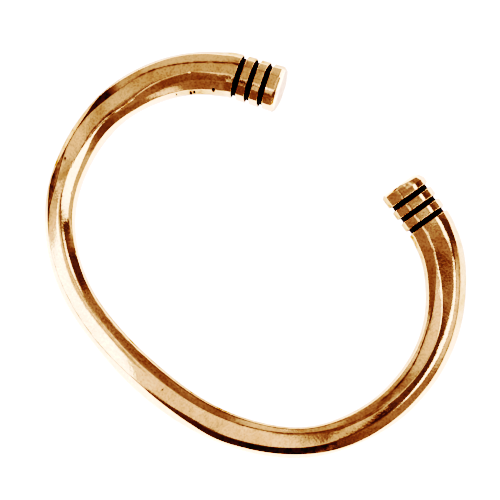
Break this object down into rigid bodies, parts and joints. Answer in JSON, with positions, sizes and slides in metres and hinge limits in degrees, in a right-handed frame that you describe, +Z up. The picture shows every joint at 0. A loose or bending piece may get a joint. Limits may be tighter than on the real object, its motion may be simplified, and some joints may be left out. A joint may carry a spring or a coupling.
{
  "type": "bronze bracelet",
  "caption": "Open oval bracelet: one solid bronze bar filed into long flats, thicker at its blunt ends, with parallel grooves cut round each end.",
  "frame": {"origin": "on the surface that the bracelet lies on, under the middle of its bounding box", "axes": "+X across the wrist, the long way of the oval; +Y from the back of the oval out through the gap; +Z up, through the oval, where the wrist goes"},
  "size_m": [0.069, 0.0542, 0.0074],
  "materials": {
    "bronze": "polished cast bronze, with brown patina and black oxide in the grooves"
  },
  "bodies": {
    "root": {"bracelet": "bronze"}
  },
  "joints": []
}
